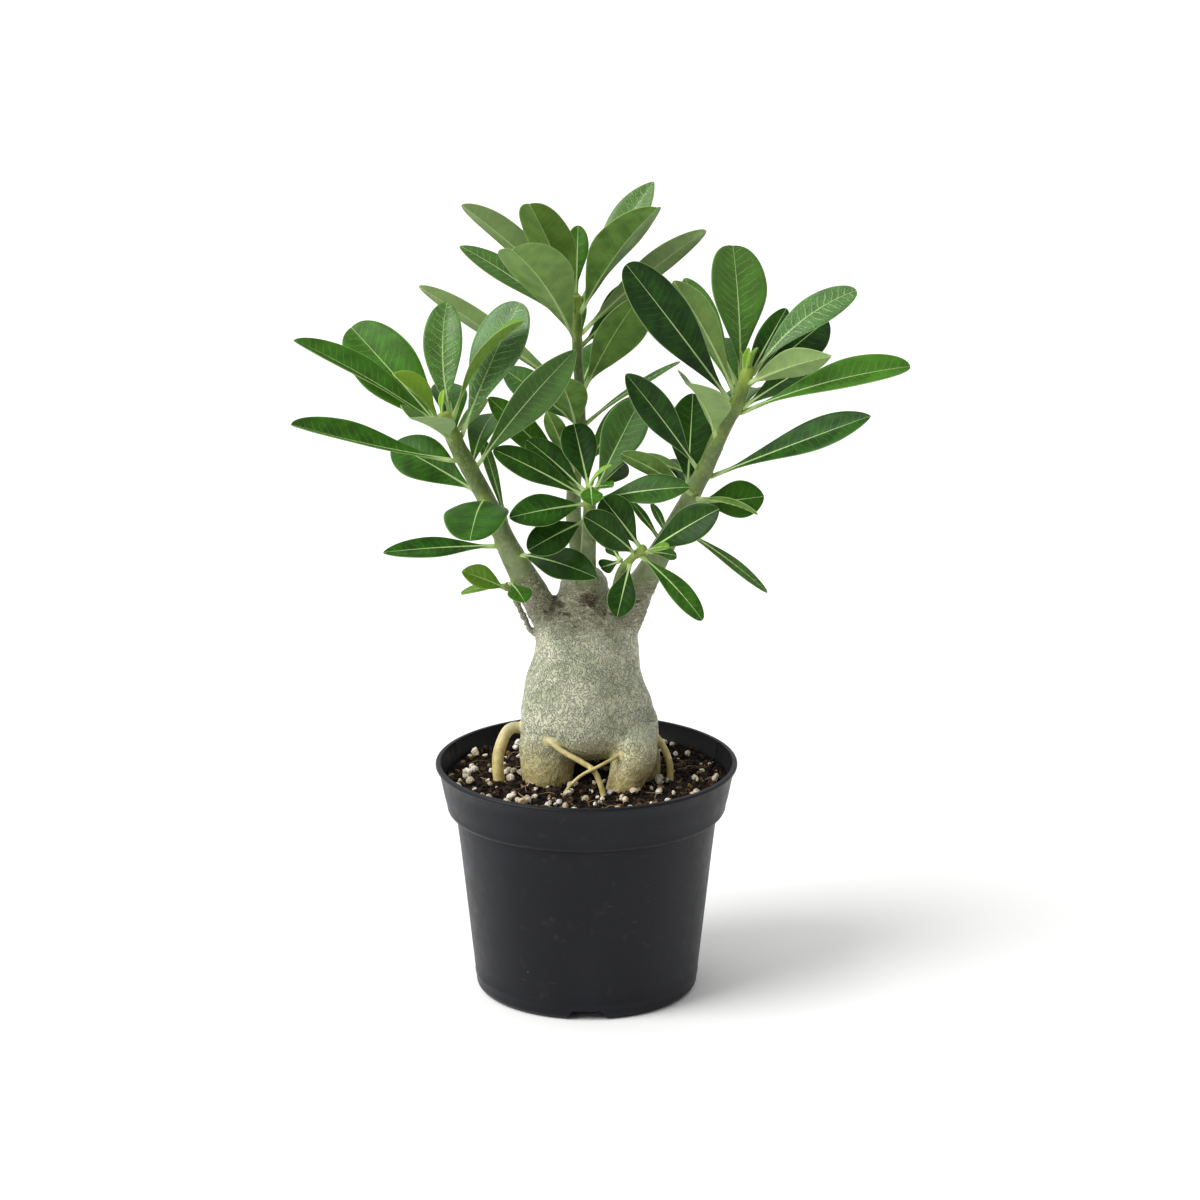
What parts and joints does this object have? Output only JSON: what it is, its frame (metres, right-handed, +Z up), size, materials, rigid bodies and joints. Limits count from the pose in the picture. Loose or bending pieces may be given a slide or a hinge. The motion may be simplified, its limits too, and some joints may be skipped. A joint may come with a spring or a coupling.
{
  "type": "potted desert rose adenium",
  "caption": "Desert rose plant with a swollen trunk, surface roots, forking stems and glossy leaves, growing in a black plastic nursery pot.",
  "frame": {"origin": "on the pot's axis, at the centre of the flat underside that it stands on", "axes": "+Z up along the pot's axis, +X to the plant's right seen from the front, +Y away from the front"},
  "size_m": [0.299, 0.153, 0.401],
  "materials": {
    "black_plastic": "satin",
    "growing_mix": "matte",
    "pale_bark": "matte",
    "green_bark": "matte",
    "shoot_green": "satin",
    "leaf_green": "satin"
  },
  "bodies": {
    "root": {"caudex": "pale_bark", "leaf_centre_shoot_01": "leaf_green", "leaf_centre_shoot_02": "leaf_green", "leaf_centre_shoot_03": "leaf_green", "leaf_centre_shoot_04": "leaf_green", "leaf_centre_shoot_05": "leaf_green", "leaf_centre_shoot_06": "leaf_green", "leaf_centre_shoot_07": "leaf_green", "leaf_front_shoot_01": "leaf_green", "leaf_front_shoot_02": "leaf_green", "leaf_front_shoot_03": "leaf_green", "leaf_front_shoot_04": "leaf_green", "leaf_front_shoot_05": "leaf_green", "leaf_left_01": "leaf_green", "leaf_left_02": "leaf_green", "leaf_left_03": "leaf_green", "leaf_left_04": "leaf_green", "leaf_left_05": "leaf_green", "leaf_left_06": "leaf_green", "leaf_left_07": "leaf_green", "leaf_left_08": "leaf_green", "leaf_left_09": "leaf_green", "leaf_left_10": "leaf_green", "leaf_left_11": "leaf_green", "leaf_left_12": "leaf_green", "leaf_left_13": "leaf_green", "leaf_left_shoot_01": "leaf_green", "leaf_middle_01": "leaf_green", "leaf_middle_02": "leaf_green", "leaf_middle_03": "leaf_green", "leaf_middle_04": "leaf_green", "leaf_middle_05": "leaf_green", "leaf_middle_06": "leaf_green", "leaf_middle_07": "leaf_green", "leaf_middle_08": "leaf_green", "leaf_middle_09": "leaf_green", "leaf_middle_10": "leaf_green", "leaf_middle_11": "leaf_green", "leaf_middle_12": "leaf_green", "leaf_right_01": "leaf_green", "leaf_right_02": "leaf_green", "leaf_right_03": "leaf_green", "leaf_right_04": "leaf_green", "leaf_right_05": "leaf_green", "leaf_right_06": "leaf_green", "leaf_right_07": "leaf_green", "leaf_right_08": "leaf_green", "leaf_right_09": "leaf_green", "leaf_right_10": "leaf_green", "leaf_right_11": "leaf_green", "leaf_right_12": "leaf_green", "leaf_right_13": "leaf_green", "pot": "black_plastic", "shoot_centre": "shoot_green", "shoot_front": "shoot_green", "shoot_left": "shoot_green", "soil": "growing_mix", "stem_left": "green_bark", "stem_middle": "green_bark", "stem_right": "green_bark"}
  },
  "joints": []
}
